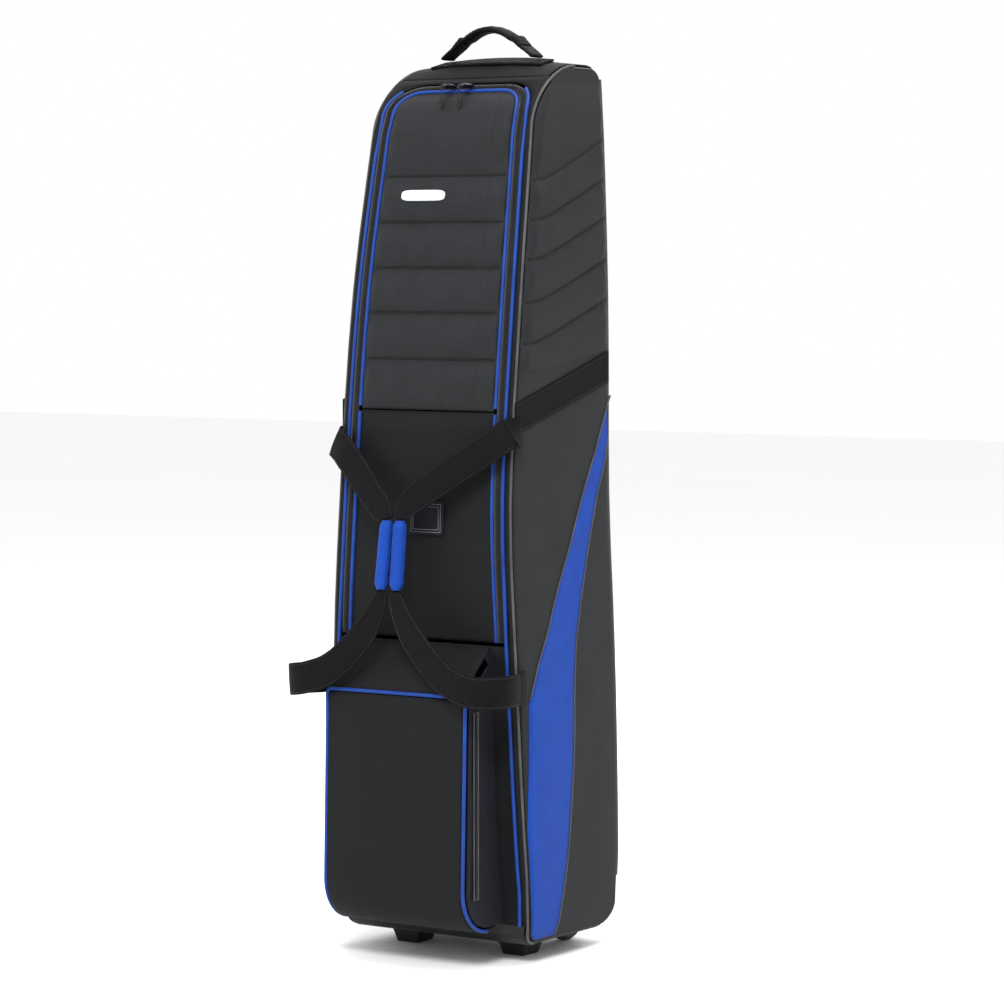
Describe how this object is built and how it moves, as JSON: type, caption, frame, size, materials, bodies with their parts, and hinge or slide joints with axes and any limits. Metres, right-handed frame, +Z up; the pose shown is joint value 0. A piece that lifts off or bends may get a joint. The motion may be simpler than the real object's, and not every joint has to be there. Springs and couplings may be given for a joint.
{
  "type": "golf travel case",
  "caption": "Upright soft golf travel case with a quilted folding front door, shoe pocket, haul loops, top handle, feet and in-line wheels.",
  "frame": {"origin": "on the floor under the middle of the case's outline", "axes": "+Z up, the front with the door and pocket faces -Y, +X is the case's right as seen from the front"},
  "size_m": [0.3692, 0.3581, 1.3189],
  "materials": {
    "black_cloth": "woven polyester, plain weave, matt",
    "grey_cloth": "quilted woven polyester with a soft sheen",
    "blue_cloth": "woven polyester, royal blue",
    "piping_blue": "blue corded piping, satin",
    "piping_grey": "grey corded piping, satin",
    "webbing": "ribbed polypropylene webbing",
    "plastic": "moulded, fine texture",
    "foam": "open cell foam sheet",
    "board": "stiff honeycomb plastic board",
    "zip": "zip tape with coil",
    "tyre": "polyurethane tread",
    "hub": "moulded hub",
    "steel": "plated steel",
    "badge": "plain pale badge, no lettering"
  },
  "bodies": {
    "case": {"front_surround": "black_cloth", "hood_panel": "black_cloth", "back_panel": "black_cloth", "door_leaf_lower": "black_cloth", "pocket_front": "black_cloth", "pocket_lid": "black_cloth", "pocket_gusset_left": "black_cloth", "pocket_gusset_right": "black_cloth", "side_panel_left": "grey_cloth", "side_panel_right": "grey_cloth", "outer_piping_left": "piping_blue", "outer_piping_right": "piping_blue", "door_piping_left": "piping_blue", "door_piping_right": "piping_blue", "pocket_piping": "piping_blue", "side_piping_left": "piping_grey", "side_piping_right": "piping_grey", "side_webbing_left": "webbing", "side_webbing_right": "webbing", "top_handle_webbing_left": "webbing", "top_handle_webbing_right": "webbing", "handle_base_strip": "webbing", "cinch_belt": "webbing", "base_tray": "plastic", "front_foot_left": "plastic", "front_foot_right": "plastic", "wheel_housing_left": "plastic", "wheel_housing_right": "plastic", "kick_plate": "plastic", "cinch_buckle": "plastic", "card_window": "plastic", "back_stiffener_board": "board", "zip_tape": "zip", "pocket_zip_left": "zip", "pocket_zip_right": "zip", "axle_bolt_left": "steel", "axle_bolt_right": "steel"},
    "door": {"door_leaf_upper": "grey_cloth", "door_foam": "foam", "door_piping_upper": "piping_blue", "badge": "badge"},
    "door_slider_left": {"door_slider_left": "steel"},
    "door_slider_right": {"door_slider_right": "steel"},
    "door_pull_left": {"door_pull_left": "webbing"},
    "door_pull_right": {"door_pull_right": "webbing"},
    "haul_loop_left": {"haul_strap_left_upper": "webbing", "haul_strap_left_lower": "webbing", "haul_grip_left": "blue_cloth"},
    "haul_loop_right": {"haul_strap_right_upper": "webbing", "haul_strap_right_lower": "webbing", "haul_grip_right": "blue_cloth"},
    "top_handle": {"top_handle_sleeve": "webbing"},
    "wheel_left": {"tyre_left": "tyre", "hub_left": "hub", "bearing_left": "steel"},
    "wheel_right": {"tyre_right": "tyre", "hub_right": "hub", "bearing_right": "steel"},
    "pocket_slider": {"pocket_slider": "steel"},
    "pocket_pull": {"pocket_pull": "webbing"}
  },
  "joints": [
    {"name": "door_open", "type": "hinge", "parent": "case", "child": "door", "pos_m": [0, -0.08128, 0.775], "axis": [1, 0, 0], "range_deg": [0, 95]},
    {"name": "door_slider_left_slide", "type": "slide", "parent": "door", "child": "door_slider_left", "axis": [-1, 0, 0], "range_m": [0, 0.05]},
    {"name": "door_slider_right_slide", "type": "slide", "parent": "door", "child": "door_slider_right", "axis": [1, 0, 0], "range_m": [0, 0.05]},
    {"name": "door_pull_left_swing", "type": "hinge", "parent": "door_slider_left", "child": "door_pull_left", "pos_m": [-0.017, -0.0217, 1.227], "axis": [-1, 0, 0], "range_deg": [0, 110]},
    {"name": "door_pull_right_swing", "type": "hinge", "parent": "door_slider_right", "child": "door_pull_right", "pos_m": [0.013, -0.0217, 1.227], "axis": [-1, 0, 0], "range_deg": [0, 110]},
    {"name": "haul_loop_left_swing", "type": "hinge", "parent": "case", "child": "haul_loop_left", "pos_m": [-0.16025, -0.1, 0.559], "axis": [-0.0635, -0.0177, -0.9978], "range_deg": [0, 100]},
    {"name": "haul_loop_right_swing", "type": "hinge", "parent": "case", "child": "haul_loop_right", "pos_m": [0.16, -0.1, 0.5705], "axis": [-0.0594, 0.017, 0.9981], "range_deg": [0, 100]},
    {"name": "top_handle_fold", "type": "hinge", "parent": "case", "child": "top_handle", "pos_m": [0, 0.08, 1.2925], "axis": [1, 0, 0], "range_deg": [-65, 65]},
    {"name": "wheel_left_spin", "type": "hinge", "parent": "case", "child": "wheel_left", "pos_m": [-0.088, 0.138, 0.035], "axis": [1, 0, 0], "continuous": true},
    {"name": "wheel_right_spin", "type": "hinge", "parent": "case", "child": "wheel_right", "pos_m": [0.088, 0.138, 0.035], "axis": [1, 0, 0], "continuous": true},
    {"name": "pocket_slider_slide", "type": "slide", "parent": "case", "child": "pocket_slider", "axis": [0, 0, 1], "range_m": [0, 0.22]},
    {"name": "pocket_pull_swing", "type": "hinge", "parent": "pocket_slider", "child": "pocket_pull", "pos_m": [-0.1302, -0.138, 0.125], "axis": [0, 1, 0], "range_deg": [0, 110]}
  ]
}
